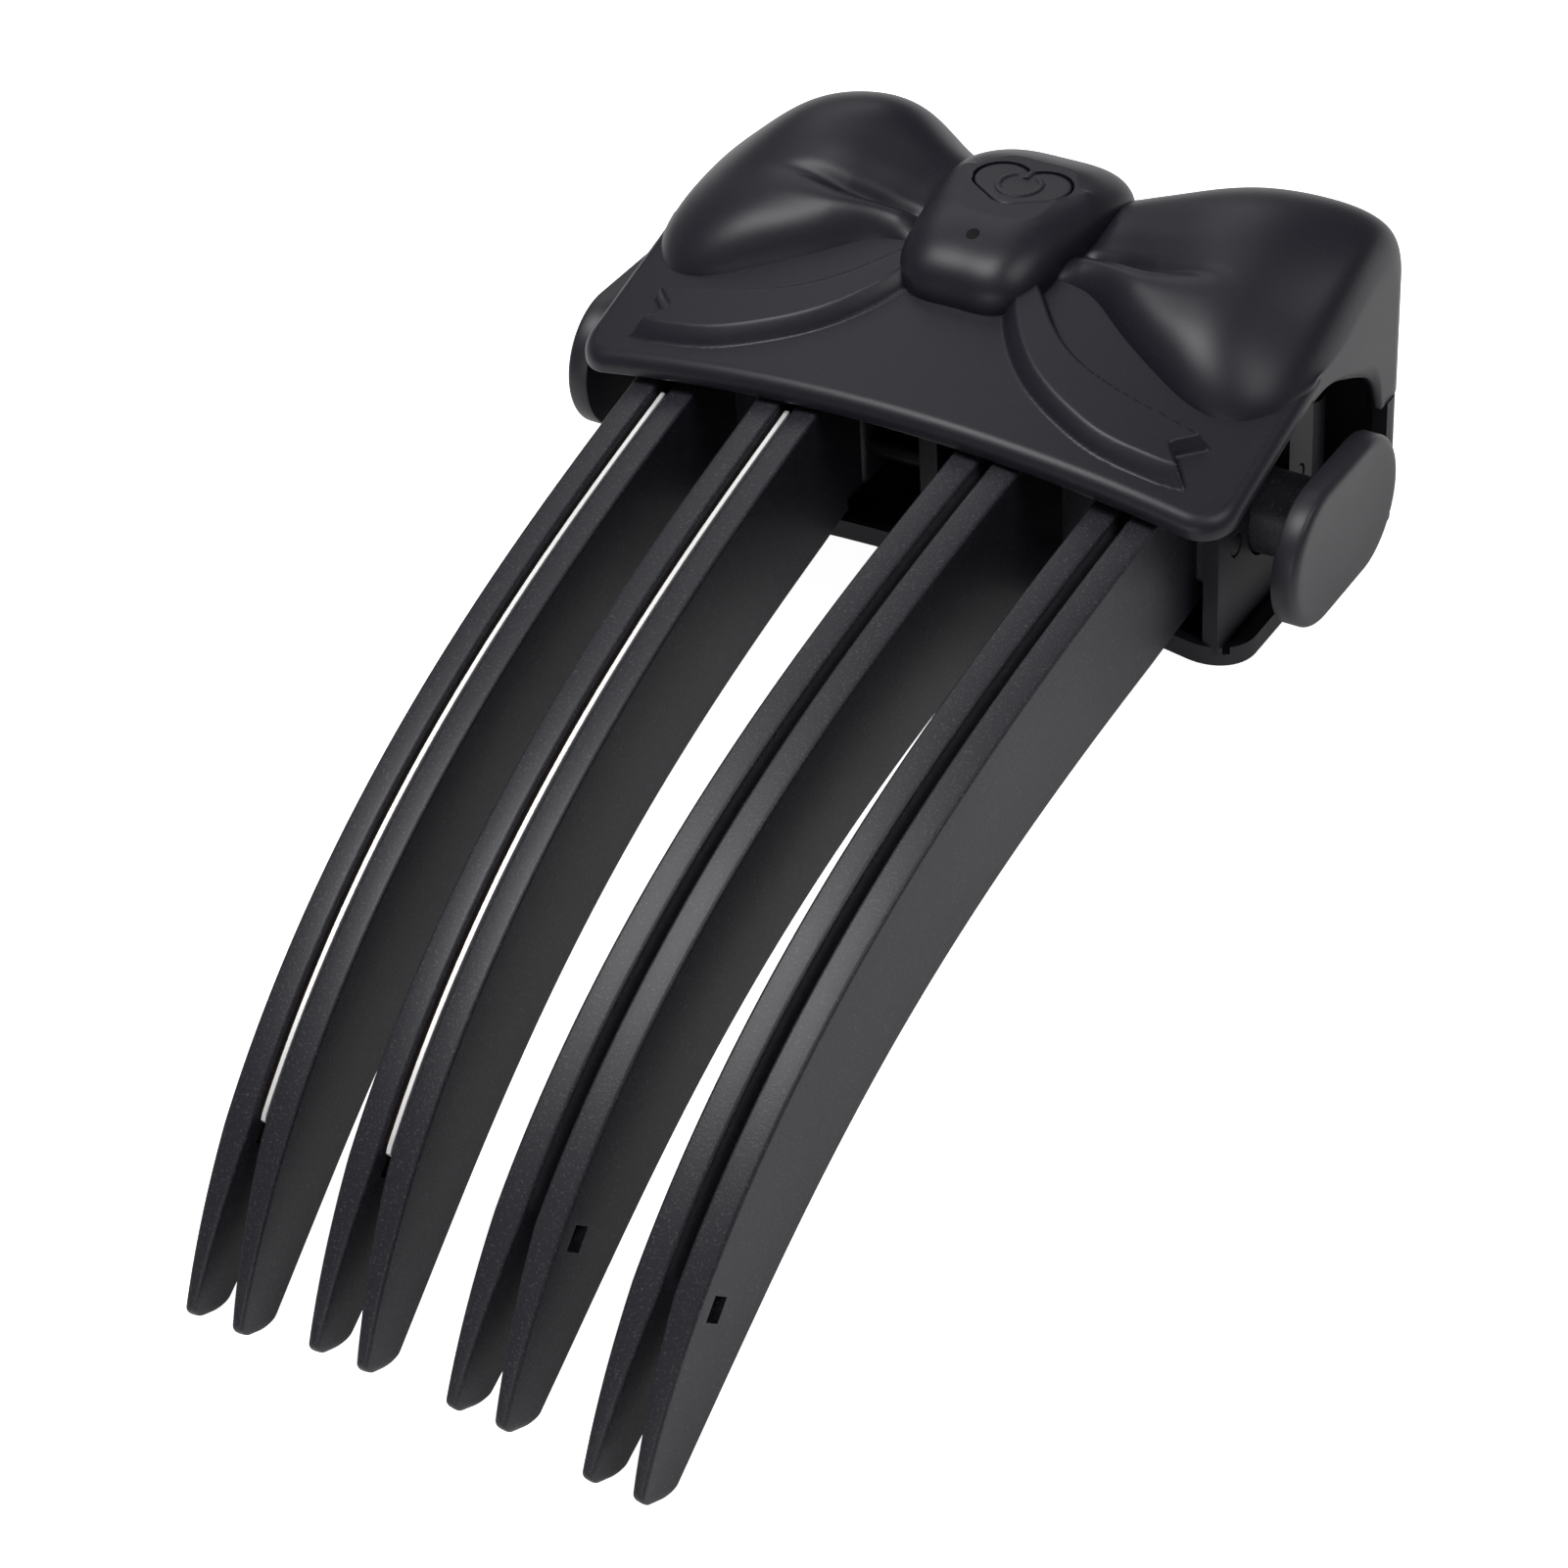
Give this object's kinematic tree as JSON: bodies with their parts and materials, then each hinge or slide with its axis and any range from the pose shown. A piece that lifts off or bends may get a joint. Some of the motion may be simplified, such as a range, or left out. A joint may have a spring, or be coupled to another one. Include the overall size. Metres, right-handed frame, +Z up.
{
  "type": "heated_root_volumizing_clip",
  "caption": "Cordless heated hair clip with curved blades in pairs under a bow-shaped housing; side knobs slide one blade of each pair open against a spring, heart-shaped power button.",
  "frame": {"origin": "bottom centre of the bounding box, the plane that the blade tips and the rear edge of the base rest on", "axes": "X across the clip between the knobs, Y along the blades with the blade tips at -Y, Z up"},
  "size_m": [0.082, 0.1412, 0.0402],
  "materials": {
    "cover_plastic": "fine satin moulding texture",
    "blade_plastic": "fine sparkle texture on the top edges, satin sides",
    "knob_plastic": "satin",
    "button_plastic": "satin",
    "dark_plastic": "moulded",
    "heater_metal": "satin",
    "film_amber": "thin film",
    "board_green": "solder mask",
    "cell_foil": "foil pouch",
    "bright_steel": "polished",
    "screw_steel": "black zinc",
    "led_lens": "clear"
  },
  "bodies": {
    "housing": {"base_shell": "cover_plastic", "battery_cell": "cell_foil", "battery_tray": "dark_plastic", "board_screws": "screw_steel", "charge_port": "bright_steel", "circuit_board": "board_green", "comb_screws": "screw_steel", "fixed_comb_left": "blade_plastic", "fixed_comb_right": "blade_plastic", "guide_rod_back": "bright_steel", "guide_rod_front": "bright_steel", "heater_film_inner_left": "film_amber", "heater_film_inner_right": "film_amber", "heater_film_outer_left": "film_amber", "heater_film_outer_right": "film_amber", "heater_plate_inner_left": "heater_metal", "heater_plate_inner_right": "heater_metal", "heater_plate_outer_left": "heater_metal", "heater_plate_outer_right": "heater_metal", "housing_screws": "screw_steel", "light_pipe": "led_lens", "return_spring_left": "bright_steel", "return_spring_right": "bright_steel", "status_led": "led_lens", "tact_switch": "dark_plastic", "top_cover": "cover_plastic"},
    "left_slider": {"slider_left": "blade_plastic", "knob_left": "knob_plastic"},
    "right_slider": {"slider_right": "blade_plastic", "knob_right": "knob_plastic"},
    "button": {"power_button": "button_plastic"}
  },
  "joints": [
    {"name": "left_knob_slide", "type": "slide", "parent": "housing", "child": "left_slider", "axis": [1, 0, 0], "range_m": [0, 0.004], "stiffness_N_per_m": 400, "springref_m": -0.002, "deforming": ["return_spring_left"]},
    {"name": "right_knob_slide", "type": "slide", "parent": "housing", "child": "right_slider", "axis": [-1, 0, 0], "range_m": [0, 0.004], "stiffness_N_per_m": 400, "springref_m": -0.002, "deforming": ["return_spring_right"]},
    {"name": "button_press", "type": "slide", "parent": "housing", "child": "button", "axis": [0, -0.2419, -0.9703], "range_m": [0, 0.0005], "stiffness_N_per_m": 500, "springref_m": -0.0005}
  ]
}
